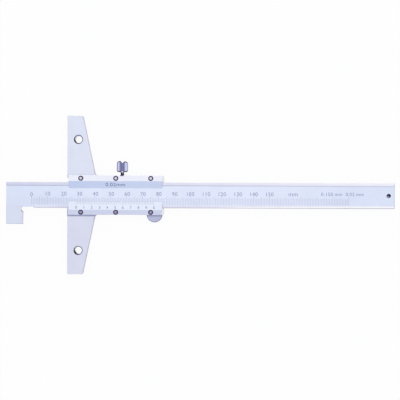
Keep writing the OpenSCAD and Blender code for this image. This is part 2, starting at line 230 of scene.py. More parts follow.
def brushed_steel(tree, colour, grain_mm, roughness):
    """Steel brushed with an abrasive belt: streaks of grain_mm along x, y and z.

    The real streaks are a few hundredths of a millimetre wide. They are drawn about ten times
    as coarse so that they show. Walls and bevels are matt, as the oilstone leaves them that
    breaks the edges.
    """
    place = tree.nodes.new("ShaderNodeTexCoord").outputs["Object"]
    scale = [1 / (size * MM) for size in grain_mm]
    stretched = add(tree, "ShaderNodeMapping", {"Vector": place, "Scale": scale})
    streaks = add(tree, "ShaderNodeTexNoise",
                  {"Vector": stretched, "Scale": 1.0, "Detail": 4.0, "Roughness": 0.65})
    clouds = add(tree, "ShaderNodeTexNoise",
                 {"Vector": place, "Scale": 1 / CLOUD_SIZE, "Detail": 2.0})
    both = add(tree, "ShaderNodeMath", {0: streaks, 1: clouds}, operation="ADD")
    tone = add(tree, "ShaderNodeMapRange",
               {"Value": both, "From Min": 0.7, "From Max": 1.3, "To Min": 0.965, "To Max": 1.02})
    toned = add(tree, "ShaderNodeVectorMath", {0: colour, "Scale": tone}, operation="SCALE")
    rough = add(tree, "ShaderNodeMapRange",
                {"Value": streaks, "From Min": 0.3, "From Max": 0.7,
                 "To Min": roughness - 0.05, "To Max": roughness + 0.05})
    matt = add(tree, "ShaderNodeMapRange",
               {"Value": facing_up(tree), "From Min": 0.92, "From Max": 0.85,
                "To Max": EDGE_MATT})
    rough = add(tree, "ShaderNodeMath", {0: rough, 1: matt}, operation="ADD")
    relief = add(tree, "ShaderNodeBump",
                 {"Height": streaks, "Strength": 0.12, "Distance": STREAK_DEPTH})
    shader = add(tree, "ShaderNodeBsdfPrincipled",
                 {"Base Color": toned, "Metallic": 1.0, "Roughness": rough, "Normal": relief})
    add(tree, "ShaderNodeOutputMaterial", {"Surface": shader})


def beam_steel():
    """Satin chrome in bands across the beam: hook and lower rail, scale field, upper rail.

    The rails are brighter towards the free end, where the slider has worn them, and so is the
    field on the middle of its travel. The lower rail is bright beside the hook too, and its outer
    half carries a painted highlight towards the free end. The upper edge carries a painted
    highlight, and the lower edge and the free end a line of painted shade. The slope below the
    upper rail is painted darker, as shade, most at the hook, and the slope above the lower rail
    paler, as light. Upright walls are painted darker, as shade, but for the lapped measuring face
    of the hook, which faces the free end.
    """
    made, tree = new_material("satin_chrome_beam")
    texture = tree.nodes.new("ShaderNodeTexCoord").outputs
    place = add(tree, "ShaderNodeSeparateXYZ", {0: texture["Object"]}).outputs
    normal = add(tree, "ShaderNodeSeparateXYZ", {0: texture["Normal"]}).outputs
    along, across = place["X"], place["Y"]
    from_left = add(tree, "ShaderNodeMath", {0: along, 1: beam_low.x}, operation="SUBTRACT")
    from_right = add(tree, "ShaderNodeMath", {0: beam_high.x, 1: along}, operation="SUBTRACT")
    from_hook = add(tree, "ShaderNodeMath", {0: from_left, 1: HOOK_WIDTH}, operation="SUBTRACT")
    whole_length = (along, beam_low.x, beam_high.x)
    field = paint(tree, srgb(BEAM_FIELD), srgb(FIELD_WORN),
                  (from_left, *WORN_FROM_LEFT_END), (from_right, *WORN_FROM_RIGHT_END))
    field = paint(tree, field, srgb(FIELD_BY_HOOK),
                  (from_left, *FIELD_BY_HOOK_FADES), (across, *FIELD_BY_HOOK_ACROSS))
    rails = paint(tree, srgb(RAIL_AT_HOOK), srgb(RAIL_AT_END), whole_length)
    lower_rail = paint(tree, srgb(RAIL_BY_HOOK), rails, (from_hook, *RAIL_BY_HOOK_FADES))
    # Painted highlight along the outer half of the lower rail, towards the free end.
    lower_rail = paint(tree, lower_rail, srgb(RAIL_HIGHLIGHT),
                       (from_left, *RAIL_HIGHLIGHT_FROM_LEFT_END), (across, *RAIL_HIGHLIGHT_ACROSS))
    bands = paint(tree, srgb(BEAM_HOOK), lower_rail, (from_hook, *HOOK_TONE_ENDS))
    # The slopes' tones are painted light and shade.
    lower_slope = paint(tree, *map(srgb, LOWER_SLOPE), whole_length)
    upper_slope = paint(tree, *map(srgb, UPPER_SLOPE), whole_length)
    for edge, band in (
        (field_low_y - FIELD_SLOPE, lower_slope),
        (field_low_y, field),
        (field_high_y, upper_slope),
        (field_high_y + FIELD_SLOPE, rails),
    ):
        bands = paint(tree, bands, band, (across, edge, edge + BAND_EDGE))
    # Painted shade: a dark line along the free end.
    end_line = (from_right, END_LINE_WIDTH + BAND_EDGE, END_LINE_WIDTH)
    bands = paint(tree, bands, srgb(END_LINE), end_line)
    # Painted highlight on the upper bevel and painted shade on the lower bevel.
    for sign, colours in ((1, UPPER_BEVEL), (-1, LOWER_BEVEL)):
        bevel = paint(tree, *map(srgb, colours), whole_length)
        turned = (normal["Y"], sign * BEVEL_TURNS[0], sign * BEVEL_TURNS[1])
        bands = paint(tree, bands, bevel, turned)
    # Upright walls are painted darker, as shade, but for the lapped measuring face.
    walls = paint(tree, srgb(BEAM_WALL), srgb(LAPPED_FACE), (normal["X"], 0.8, 0.95))
    colour = faces_and_walls(tree, bands, walls)
    hole = (beam_high.x - HANG_HOLE_INSET, 0)
    colour = drilled(tree, colour, hole, HANG_HOLE_RADIUS, HANG_HOLE_SHADED_SIDE, HANG_HOLE_WALL)
    brushed_steel(tree, colour, grain_mm=(14, 0.35, 0.35), roughness=0.34)
    return made


def dress(node, material):
    """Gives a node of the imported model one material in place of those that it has."""
    mesh = nodes[node].data
    mesh.materials.clear()
    mesh.materials.append(material)


dress("beam", beam_steel())


# Main scale
# 200 mm of millimetre lines cut into the beam and filled with grey-blue ink, with a numeral
# every 10 mm up to 150. The ink fills each line almost to the face. After the numerals come
# the unit and a plain range and resolution, smaller than they are.

SCALE_INK = "868CAC"
NUMERAL_INK = "7476A8"
FIELD_DEPTH = 0.25 * MM
ZERO_OFFSET = 5.5 * MM
MAIN_MM = 200
LINE_WIDTH = 0.12 * MM
LINE_DEPTH = 0.05 * MM
INK_BELOW_FACE = 0.01 * MM
LINE_LENGTHS = (4.2 * MM, 4.9 * MM, 5.4 * MM)
NUMERAL_HEIGHT = 2.4 * MM
NUMERAL_FOOT = -0.45 * MM
NUMERAL_SHIFT = 0.3 * MM
ZERO_FOOT = -0.9 * MM
LAST_NUMERAL = 150
UNIT_AT = 165 * MM
UNIT_HEIGHT = 1.8 * MM
RANGE_AT = 196 * MM
RANGE_HEIGHT = 2.16 * MM
RANGE_FOOT = -0.15 * MM
INK_THICKNESS = 0.012 * MM
STROKE_WEIGHT = -0.006
INK_PATCH_SIZE = 1.2 * MM

field_top = beam_high.z - FIELD_DEPTH
main_zero = beam_low.x + HOOK_WIDTH + ZERO_OFFSET


def scale_ink(name, colour):
    """Engraver's ink wiped into the lines: matt, a little uneven, worn paler in places."""
    made, tree = new_material(name)
    place = tree.nodes.new("ShaderNodeTexCoord").outputs["Object"]
    patches = add(tree, "ShaderNodeTexNoise",
                  {"Vector": place, "Scale": 1 / INK_PATCH_SIZE, "Detail": 2.0})
    tone = add(tree, "ShaderNodeMapRange",
               {"Value": patches, "From Min": 0.3, "From Max": 0.7, "To Min": 0.85, "To Max": 1.2})
    toned = add(tree, "ShaderNodeVectorMath", {0: srgb(colour)[:3], "Scale": tone},
                operation="SCALE")
    shader = add(tree, "ShaderNodeBsdfPrincipled", {"Base Color": toned, "Roughness": 0.6})
    add(tree, "ShaderNodeOutputMaterial", {"Surface": shader})
    return made


def new_piece(name, vertices, faces, material, body, smooth=False):
    """A piece from arrays of vertices and faces, which rides on a body."""
    mesh = bpy.data.meshes.new(name)
    mesh.from_pydata(vertices.tolist(), [], [list(face) for face in faces])
    mesh.polygons.foreach_set("use_smooth", [smooth] * len(mesh.polygons))
    mesh.materials.append(material)
    piece = bpy.data.objects.new(name, mesh)
    bpy.context.scene.collection.objects.link(piece)
    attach(piece, body)
    return piece


def ink_bars(x, y_low, y_high, z_low, z_high):
    """Corners and faces of upright bars, one for each x.

    The corners of a bar are every mix of x +- half a line's width, its two y and the two z.
    """
    side = np.array([-1, 1, 1, -1, -1, 1, 1, -1]) * LINE_WIDTH / 2
    far = np.array([0, 0, 1, 1, 0, 0, 1, 1])
    high = np.array([0, 0, 0, 0, 1, 1, 1, 1])
    corners = np.stack([
        x[:, None] + side,
        y_low[:, None] + (y_high - y_low)[:, None] * far,
        np.broadcast_to(z_low + (z_high - z_low) * high, (len(x), 8)),
    ], axis=-1)
    quads = np.array([
        [3, 2, 1, 0], [4, 5, 6, 7], [0, 1, 5, 4], [1, 2, 6, 5], [2, 3, 7, 6], [3, 0, 4, 7],
    ])
    faces = quads + 8 * np.arange(len(x))[:, None, None]
    return corners.reshape(-1, 3), faces.reshape(-1, 4)


def line_length(count, step_lengths):
    """Length of line number count: the longest every 10, the middle one every 5."""
    short, middle, long = step_lengths
    return np.where(count % 10 == 0, long, np.where(count % 5 == 0, middle, short))


def lettering(labels, weight=STROKE_WEIGHT):
    """Vertices and faces of thin raised characters, joined into one mesh.

    Each label is (text, middle x, foot y, height, stretch). A text is set flat, scaled so that
    its box has that height, and then stretched sideways. weight thickens the strokes, in ems.
    """
    vertices, faces, count = [], [], 0
    for text, x, y, height, stretch in labels:
        curve = bpy.data.curves.new("lettering", "FONT")
        curve.body = text
        curve.offset = weight
        curve.extrude = 0.5
        curve.resolution_u = 4
        curve.space_character = 1.05
        holder = bpy.data.objects.new("lettering", curve)
        bpy.context.scene.collection.objects.link(holder)
        bpy.context.view_layer.update()
        solid = holder.evaluated_get(bpy.context.evaluated_depsgraph_get())
        mesh = bpy.data.meshes.new_from_object(solid)
        points = np.zeros(len(mesh.vertices) * 3)
        mesh.vertices.foreach_get("co", points)
        points = points.reshape(-1, 3)
        low, high = points.min(0), points.max(0)
        scale = height / (high[1] - low[1])
        foot = ((low[0] + high[0]) / 2, low[1], low[2])
        sizes = (scale * stretch, scale, INK_THICKNESS / (high[2] - low[2]))
        vertices.append((points - foot) * sizes + (x, y, 0))
        faces += [[count + i for i in polygon.vertices] for polygon in mesh.polygons]
        count += len(points)
        bpy.data.objects.remove(holder)
        bpy.data.curves.remove(curve)
        bpy.data.meshes.remove(mesh)
    return np.concatenate(vertices), faces


line_ink = scale_ink("line_ink", SCALE_INK)
numeral_ink = scale_ink("numeral_ink", NUMERAL_INK)

main_count = np.arange(MAIN_MM + 1)
main_x = main_zero + main_count * MM
main_feet = np.full(len(main_count), field_low_y)
main_tops = main_feet + line_length(main_count, LINE_LENGTHS)
bar_points, bar_faces = ink_bars(main_x, main_feet, main_tops,
                                 field_top - LINE_DEPTH, field_top - INK_BELOW_FACE)
new_piece("main_scale_ink", bar_points, bar_faces, line_ink, "beam")

main_labels = [("0", main_zero, ZERO_FOOT, NUMERAL_HEIGHT, 1)]
main_labels += [
    (str(mark), main_zero + mark * MM + NUMERAL_SHIFT, NUMERAL_FOOT, NUMERAL_HEIGHT, 1)
    for mark in range(10, LAST_NUMERAL + 1, 10)
]
main_labels += [
    ("mm", main_zero + UNIT_AT, NUMERAL_FOOT, UNIT_HEIGHT, 1),
    ("0-150 mm  0.02 mm", main_zero + RANGE_AT, RANGE_FOOT, RANGE_HEIGHT, 1),
]
text_points, text_faces = lettering(main_labels)
text_points[:, 2] += field_top
new_piece("main_numerals", text_points, text_faces, numeral_ink, "beam")


# Base and slider frame
# One milled and ground piece of stainless steel: the tapering arms of the base, the frame that
# the beam runs in, and the half-round thumb rest, which is coloured darker.

ARM_UPPER = "DFE4F5"
ARM_LOWER = "DADDF0"
FRAME_WALL = "CCC8DC"
THUMB_REST = "BCBFDC"
FRAME_ENDS = ("C8CCE0", "FCFCFF")
JOINT_SHADOW = "A0A5C6"
FRAME_BEVEL = "F2F4FC"
FILLET_SHADE = "524E76"
# The arm holes' bores are painted pale, as lit.
BORE_WALL = "F4F4FA"
BEVEL_TILT = (0.9, 0.8)
FILLET_CORNER = (-66.5 * MM, 12.5 * MM)
FILLET_REACH = (1.8 * MM, 1.1 * MM)
SHADOW_FROM_Y = -9.3 * MM
FRAME_HALF_HEIGHT = 12.5 * MM
ARM_HOLE = (-77.0 * MM, 35 * MM)
ARM_HOLE_RADIUS = 2.9 * MM
ARM_HOLE_SHADED_SIDE = (0.8, 0.6)
SHADOW_ENDS_Y = (-13.6 * MM, -13.4 * MM)
SHADOW_LEFT_OF_PLATE = 0.4 * MM


def frame_steel():
    """Ground steel, paler above the beam than below it, with the thumb rest darker.

    Its ends, which show past the plates, are painted in light and shade: darker at the left end,
    as shade, and paler at the right, as light. A painted shadow lies along the lower part of its
    left edge and in the corner along the lower plate, and painted shade in the fillet of the upper
    arm. Its upright walls are painted darker, as shade, and its bevels bright, as a highlight.
    """
    made, tree = new_material("ground_stainless_frame")
    texture = tree.nodes.new("ShaderNodeTexCoord").outputs
    place = add(tree, "ShaderNodeSeparateXYZ", {0: texture["Object"]}).outputs
    normal = add(tree, "ShaderNodeSeparateXYZ", {0: texture["Normal"]}).outputs
    along, across = place["X"], place["Y"]
    aside = add(tree, "ShaderNodeMath", {0: across}, operation="ABSOLUTE")
    between_arms = (aside, FRAME_HALF_HEIGHT + BAND_EDGE, FRAME_HALF_HEIGHT)
    below_frame = (across, -FRAME_HALF_HEIGHT, -FRAME_HALF_HEIGHT - BAND_EDGE)
    stud_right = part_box("lock_stud")[1].x
    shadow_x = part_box("vernier_plate")[0].x - SHADOW_LEFT_OF_PLATE
    faces = paint(tree, srgb(ARM_LOWER), srgb(ARM_UPPER),
                  (across, -FRAME_HALF_HEIGHT, FRAME_HALF_HEIGHT))
    # Painted highlight on the bevels.
    faces = paint(tree, faces, srgb(FRAME_BEVEL), (facing_up(tree), *BEVEL_TILT))
    faces = paint(tree, faces, srgb(THUMB_REST), below_frame, (along, stud_right, stud_right + MM))
    # Painted light and shade on the ends past the plates: darker at the left, paler at the right.
    ends = paint(tree, *map(srgb, FRAME_ENDS),
                 (along, *(corner.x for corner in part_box("cover_plate"))))
    faces = paint(tree, faces, ends, between_arms)
    # Painted shadow on the lower part of the left edge and in the corner along the lower plate.
    faces = paint(tree, faces, srgb(JOINT_SHADOW), between_arms,
                  (along, shadow_x, shadow_x - BAND_EDGE),
                  (across, SHADOW_FROM_Y, SHADOW_FROM_Y - BAND_EDGE))
    faces = paint(tree, faces, srgb(JOINT_SHADOW), below_frame, (across, *SHADOW_ENDS_Y))
    # Upright walls are painted darker, as shade, and darker still in the upper arm's fillet.
    walls = paint(tree, srgb(FRAME_WALL), srgb(FILLET_SHADE),
                  (from_axis(tree, *FILLET_CORNER), *FILLET_REACH), (normal["Y"], 0.4, 0.65))
    colour = faces_and_walls(tree, faces, walls)
    for side in (-1, 1):
        hole = (ARM_HOLE[0], side * ARM_HOLE[1])
        colour = drilled(tree, colour, hole, ARM_HOLE_RADIUS, ARM_HOLE_SHADED_SIDE, BORE_WALL)
    brushed_steel(tree, colour, grain_mm=(12, 0.4, 0.4), roughness=0.36)
    return made


dress("base_frame", frame_steel())


# Cover plate
# A strip of stainless steel over the upper edge of the beam. Its outer part is flat and bright,
# and its inner part slopes down to the scale, away from the lamp, and is painted darker, as
# shade.

COVER_FLAT = "EEF1FC"
COVER_SLOPE = ("C4D1F0", "CAD6F2")
COVER_SLOPE_END = "C4CAE8"
PLATE_WALL = "BFC2DC"
PLATE_BEVEL = "FFFFFF"
STUD_SHADOW = "6E6C94"
SLOPE_END_WIDTH = 0.3 * MM
STUD_SHADOW_HALF_WIDTH = 1.1 * MM
STUD_SHADOW_REACH = 0.6 * MM
COVER_FLAT_WIDTH = 3.7 * MM
COVER_WIDTH = 8.0 * MM
PLATE_THICKNESS = 1.5 * MM
PLATE_EDGE = 0.3 * MM
RESOLUTION_HEIGHT = 2.2 * MM
RESOLUTION_STRETCH = 1.2
RESOLUTION_WEIGHT = 0.004
RESOLUTION_INK = "62689E"
RESOLUTION_FOOT = 5.5 * MM

cover_low, cover_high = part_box("cover_plate")


def apart(tree, measure, value):
    """How far a measure is from a value, either way."""
    difference = add(tree, "ShaderNodeMath", {0: measure, 1: value}, operation="SUBTRACT")
    return add(tree, "ShaderNodeMath", {0: difference}, operation="ABSOLUTE")


def plate_steel(name, node, flat_colour, slope_colours, slope_end_colour, fold_y, inwards):
    """Satin-chromed strip: one tone on the flat and another on the slope, from fold_y inwards.

    The slope goes from its first colour at the left end to its second at the middle, with a
    third in a line along both ends. The tones of flat, slope and end lines are painted light and
    shade, and the walls are painted darker, as shade. The bevels along the strip's edges are
    painted bright, as a highlight. Where the lock screw's stud goes in, a painted shadow and
    reflection of the stud lies over the edge of the flat above it.
    """
    made, tree = new_material(name)
    place = tree.nodes.new("ShaderNodeTexCoord").outputs["Object"]
    place = add(tree, "ShaderNodeSeparateXYZ", {0: place}).outputs
    along, across = place["X"], place["Y"]
    plate_left, plate_right = (corner.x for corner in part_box(node))
    stud_left, stud_right = (corner.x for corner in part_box("lock_stud"))
    middle_x = (plate_left + plate_right) / 2
    past_slope = plate_right - middle_x - SLOPE_END_WIDTH
    stud_shadow_foot = FRAME_HALF_HEIGHT - STUD_SHADOW_REACH
    # Painted light and shade: the tones of the flat and slope and the line along the slope's ends.
    slope = paint(tree, *map(srgb, slope_colours), (along, plate_left, middle_x))
    slope = paint(tree, slope, srgb(slope_end_colour),
                  (apart(tree, along, middle_x), past_slope - BAND_EDGE, past_slope))
    faces = paint(tree, srgb(flat_colour), slope,
                  (across, fold_y, fold_y + inwards * 2 * BAND_EDGE))
    # Painted highlight on the bevels.
    faces = paint(tree, faces, srgb(PLATE_BEVEL), (facing_up(tree), *BEVEL_TILT))
    # Painted shadow and reflection of the stud on the flat's edge.
    from_stud = apart(tree, along, (stud_left + stud_right) / 2)
    faces = paint(tree, faces, srgb(STUD_SHADOW),
                  (from_stud, STUD_SHADOW_HALF_WIDTH + BAND_EDGE, STUD_SHADOW_HALF_WIDTH),
                  (across, stud_shadow_foot - BAND_EDGE, stud_shadow_foot))
    # Upright walls are painted darker, as shade.
    colour = faces_and_walls(tree, faces, srgb(PLATE_WALL))
    brushed_steel(tree, colour, grain_mm=(14, 0.35, 0.35), roughness=0.34)
    return made


dress("cover_plate", plate_steel("satin_chrome_cover", "cover_plate", COVER_FLAT, COVER_SLOPE,
                                 COVER_SLOPE_END, cover_high.y - COVER_FLAT_WIDTH, -1))

cover_fall = (PLATE_THICKNESS - PLATE_EDGE) / (COVER_WIDTH - COVER_FLAT_WIDTH)
cover_middle_x = (cover_low.x + cover_high.x) / 2
resolution = ("0.02mm", cover_middle_x, RESOLUTION_FOOT, RESOLUTION_HEIGHT, RESOLUTION_STRETCH)
text_points, text_faces = lettering([resolution], RESOLUTION_WEIGHT)
text_points[:, 2] += cover_low.z + PLATE_EDGE + (text_points[:, 1] - cover_low.y) * cover_fall
legend_ink = scale_ink("legend_ink", RESOLUTION_INK)
new_piece("cover_legend", text_points, text_faces, legend_ink, "slider")


# Vernier plate
# A like strip below the beam. Its slope faces the light and is painted paler than its flat, as
# light and shade, and carries 50 divisions in 49 mm, cut and inked as the main scale is, with a
# numeral every fifth line.

# The flat is painted darker and the slope paler, as shade and light.
VERNIER_FLAT = "CFD5EC"
VERNIER_SLOPE = "E5ECFB"
VERNIER_FLAT_WIDTH = 3.1 * MM
VERNIER_WIDTH = 8.4 * MM
VERNIER_DIVISIONS = 50
VERNIER_LENGTH = 49 * MM
VERNIER_LINES = (1.8 * MM, 2.4 * MM, 2.4 * MM)
VERNIER_NUMERAL_HEIGHT = 1.6 * MM
VERNIER_NUMERAL_STRETCH = 1.1
VERNIER_INK = "54568C"
VERNIER_NUMERAL_DROP = 4.6 * MM
VERNIER_NUMERAL_SHIFT = 0.3 * MM

vernier_low, vernier_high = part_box("vernier_plate")
dress("vernier_plate", plate_steel(
    "satin_chrome_vernier", "vernier_plate", VERNIER_FLAT, (VERNIER_SLOPE, VERNIER_SLOPE),
    VERNIER_SLOPE, vernier_low.y + VERNIER_FLAT_WIDTH, 1))

vernier_fall = (PLATE_THICKNESS - PLATE_EDGE) / (VERNIER_WIDTH - VERNIER_FLAT_WIDTH)
vernier_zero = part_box("base_frame")[0].x + ZERO_OFFSET


def lay_on_vernier(points):
    """Lifts flat points onto the slope, whose height grows evenly from the thin edge."""
    points[:, 2] += vernier_low.z + PLATE_EDGE + (vernier_high.y - points[:, 1]) * vernier_fall
    return points


vernier_count = np.arange(VERNIER_DIVISIONS + 1)
vernier_x = vernier_zero + vernier_count * VERNIER_LENGTH / VERNIER_DIVISIONS
vernier_tops = np.full(len(vernier_count), vernier_high.y)
vernier_feet = vernier_tops - line_length(vernier_count, VERNIER_LINES)
bar_points, bar_faces = ink_bars(vernier_x, vernier_feet, vernier_tops,
                                 -LINE_DEPTH, -INK_BELOW_FACE)
new_piece("vernier_scale_ink", lay_on_vernier(bar_points), bar_faces, line_ink,
          "slider")

vernier_labels = [
    (str(mark % 10), vernier_zero + mark * VERNIER_LENGTH / 10 + VERNIER_NUMERAL_SHIFT,
     vernier_high.y - VERNIER_NUMERAL_DROP, VERNIER_NUMERAL_HEIGHT, VERNIER_NUMERAL_STRETCH)
    for mark in range(11)
]
text_points, text_faces = lettering(vernier_labels)
vernier_ink = scale_ink("vernier_ink", VERNIER_INK)
new_piece("vernier_numerals", lay_on_vernier(text_points), text_faces, vernier_ink,
          "slider")


# Plate screws
# Six slotted screws of blued steel. The flats of their heads carry a painted highlight in
# scratchy patches, dimmer on the lower plate's screws, and the rounded shoulders and the slots
# stay dark.

BLUED = "3E3866"
HIGHLIGHT_BRIGHT = "DEDAE6"
HIGHLIGHT_DULL = "A9A0B6"
SCREW_PITCH = 22 * MM
HIGHLIGHT_RADIUS = 0.85 * MM
SCRATCH_SIZE = 0.5 * MM


def screw_steel(node, head_highlight):
    """Blued steel, with a painted highlight of the given colour in patches on top of each of the
    node's screws.

    The three screws stand one pitch apart, so x is wrapped to one pitch before the distance
    from a screw's axis is taken.
    """
    made, tree = new_material("blued_screw_steel")
    place = tree.nodes.new("ShaderNodeTexCoord").outputs["Object"]
    screws_low, screws_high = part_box(node)
    middle = (screws_low + screws_high) / 2
    offset = add(tree, "ShaderNodeVectorMath", {0: place, 1: middle}, operation="SUBTRACT")
    offset = add(tree, "ShaderNodeSeparateXYZ", {0: offset}).outputs
    wrapped = add(tree, "ShaderNodeMath",
                  {0: offset["X"], 1: SCREW_PITCH / 2, 2: -SCREW_PITCH / 2}, operation="WRAP")
    radial = add(tree, "ShaderNodeCombineXYZ", {"X": wrapped, "Y": offset["Y"]})
    radius = add(tree, "ShaderNodeVectorMath", {0: radial}, operation="LENGTH").outputs["Value"]
    scratches = add(tree, "ShaderNodeTexNoise",
                    {"Vector": place, "Scale": 1 / SCRATCH_SIZE, "Detail": 5.0})
    # Painted highlight on the flats of the heads, in scratchy patches.
    colour = paint(tree, srgb(BLUED), srgb(head_highlight), (scratches, 0.1, 0.45),
                   (radius, HIGHLIGHT_RADIUS * 1.1, HIGHLIGHT_RADIUS * 0.9))
    rough = add(tree, "ShaderNodeMapRange", {"Value": scratches, "To Min": 0.22, "To Max": 0.42})
    shader = add(tree, "ShaderNodeBsdfPrincipled",
                 {"Base Color": colour, "Metallic": 1.0, "Roughness": rough})
    add(tree, "ShaderNodeOutputMaterial", {"Surface": shader})
    return made


for screws, head_highlight in (
    ("cover_plate_screws", HIGHLIGHT_BRIGHT),
    ("vernier_plate_screws", HIGHLIGHT_DULL),
):
    dress(screws, screw_steel(screws, head_highlight))


# Leaf spring
# A strip of rolled phosphor bronze in the pocket above the beam, which keeps the beam pressed to
# the frame. It is out of sight under the cover plate.

SPRING_BRONZE = "B98A58"
ROLL_MARKS_MM = (8, 0.3, 0.3)


def spring_bronze():
    """Rolled bronze strip with faint lengthwise roll marks."""
    made, tree = new_material("rolled_bronze")
    place = tree.nodes.new("ShaderNodeTexCoord").outputs["Object"]
    scale = [1 / (size * MM) for size in ROLL_MARKS_MM]
    stretched = add(tree, "ShaderNodeMapping", {"Vector": place, "Scale": scale})
    marks = add(tree, "ShaderNodeTexNoise", {"Vector": stretched, "Scale": 1.0})
    rough = add(tree, "ShaderNodeMapRange", {"Value": marks, "To Min": 0.25, "To Max": 0.45})
    shader = add(tree, "ShaderNodeBsdfPrincipled",
                 {"Base Color": srgb(SPRING_BRONZE), "Metallic": 1.0, "Roughness": rough})
    add(tree, "ShaderNodeOutputMaterial", {"Surface": shader})
    return made


dress("leaf_spring", spring_bronze())


# Lock screw
# A cast wing, chromed and polished, on a threaded stud of blackened steel. The stud's thread
# shows between the wing and the frame.

LOBE_CHROME = "D2D6EE"
LOBE_SIDE_SHADE = "A6A9CE"
WEB_SHADE = "7C7DA6"
LOBE_TIP_SHADE = "221E48"
STUD_COLLAR = "C8CCE8"
STUD_BLACK = "2A2340"
STUD_HIGHLIGHT = "DAD6EA"
STUD_DARKER = "0A0814"
LOBE_RADIUS = 1.3 * MM
WEB_HALF_WIDTH = 1.65 * MM
ARCH_RADIUS = 1.8 * MM
NOTCH_DEPTH = 0.95 * MM
NOTCH_HALF_WIDTH = 1.45 * MM
LOBE_STEP = 0.2 * MM
FOOT_CORNER = 1.25 * MM
COLLAR_SHOWS = 0.6 * MM
TOP_ROUNDING = 0.8 * MM
FOOT_ROUNDING = 0.7 * MM
WING_COLUMNS = 48
ROUNDING_STEPS = 7
LOBE_ENDS = (0.4 * MM, 1.0 * MM)
RIPPLE_MM = (0.5, 9, 0.5)
RIPPLE_DEPTH = 0.05 * MM
OXIDE_GRAIN = 0.3 * MM
DARKER_LENGTH = 1.6 * MM
THREAD_PITCH = 0.4 * MM
THREAD_DEPTH = 0.15 * MM
THREAD_SIDES = 32
RINGS_PER_TURN = 6
STUD_TIP_BEVEL = 0.4 * MM


def cast_wing(low, high):
    """Vertices and faces of a wing that fills the box from low to high.

    Its half thickness across x is a circle at each lobe and a larger one at the hub, joined by
    the sixth root of the sum of their sixth powers, so that the creases between them are round.
    The foot of its outline has round corners and the top is an arch, a little lower over the
    right lobe. Both are cut in over the hub by one wave of a cosine. Near the foot and the top
    the thickness falls as a quarter circle.
    """
    middle, half = (low + high) / 2, (high - low) / 2
    x = -half.x * np.cos(np.linspace(0, math.pi, WING_COLUMNS + 1))
    aside = np.abs(x)
    lobe = np.sqrt(np.maximum(LOBE_RADIUS ** 2 - (aside - half.x + LOBE_RADIUS) ** 2, 0))
    hub = np.sqrt(np.maximum(half.z ** 2 - aside ** 2, 0))
    depth = (lobe ** 6 + hub ** 6) ** (1 / 6)
    past_foot = np.maximum(aside - half.x + FOOT_CORNER, 0)
    past_arch = np.maximum(aside - half.x + ARCH_RADIUS, 0)
    wave = np.cos(math.pi / 2 * np.minimum(aside / NOTCH_HALF_WIDTH, 1)) ** 2
    foot = low.y + FOOT_CORNER - np.sqrt(np.maximum(FOOT_CORNER ** 2 - past_foot ** 2, 0))
    foot += COLLAR_SHOWS * wave
    top = high.y - ARCH_RADIUS + np.sqrt(np.maximum(ARCH_RADIUS ** 2 - past_arch ** 2, 0))
    top -= NOTCH_DEPTH * wave + np.interp(x, (-MM, MM), (0, LOBE_STEP))
    turn = np.linspace(0.15, math.pi / 2, ROUNDING_STEPS)[:, None]
    near_foot = foot + FOOT_ROUNDING * (1 - np.cos(turn))
    near_top = top - TOP_ROUNDING * (1 - np.cos(turn[::-1]))
    share = np.linspace(0, 1, ROUNDING_STEPS)[1:-1, None]
    y = np.concatenate([near_foot, near_foot[-1] + share * (near_top[0] - near_foot[-1]), near_top])
    fullness = np.concatenate([np.sin(turn), np.ones_like(share), np.sin(turn[::-1])])
    z = depth * fullness
    front = np.stack([np.broadcast_to(middle.x + x, y.shape), y, middle.z + z], axis=-1)
    back = np.stack([np.broadcast_to(middle.x + x, y.shape), y, middle.z - z], axis=-1)
    points = np.concatenate([front, back[:, -2:0:-1]], axis=1)
    rings, around = points.shape[:2]
    ring = np.arange(around)
    first = ring + around * np.arange(rings - 1)[:, None]
    after = (ring + 1) % around + around * np.arange(rings - 1)[:, None]
    sides = np.stack([first, after, after + around, first + around], axis=-1).reshape(-1, 4)
    column = np.arange(WING_COLUMNS)
    behind, behind_next = (around - column) % around, around - column - 1
    foot_cap = np.stack([column, behind, behind_next, column + 1], axis=-1)
    top_cap = foot_cap[:, ::-1] + around * (rings - 1)
    caps = [list(dict.fromkeys(face)) for face in [*foot_cap.tolist(), *top_cap.tolist()]]
    return points.reshape(-1, 3), [*sides.tolist(), *caps]


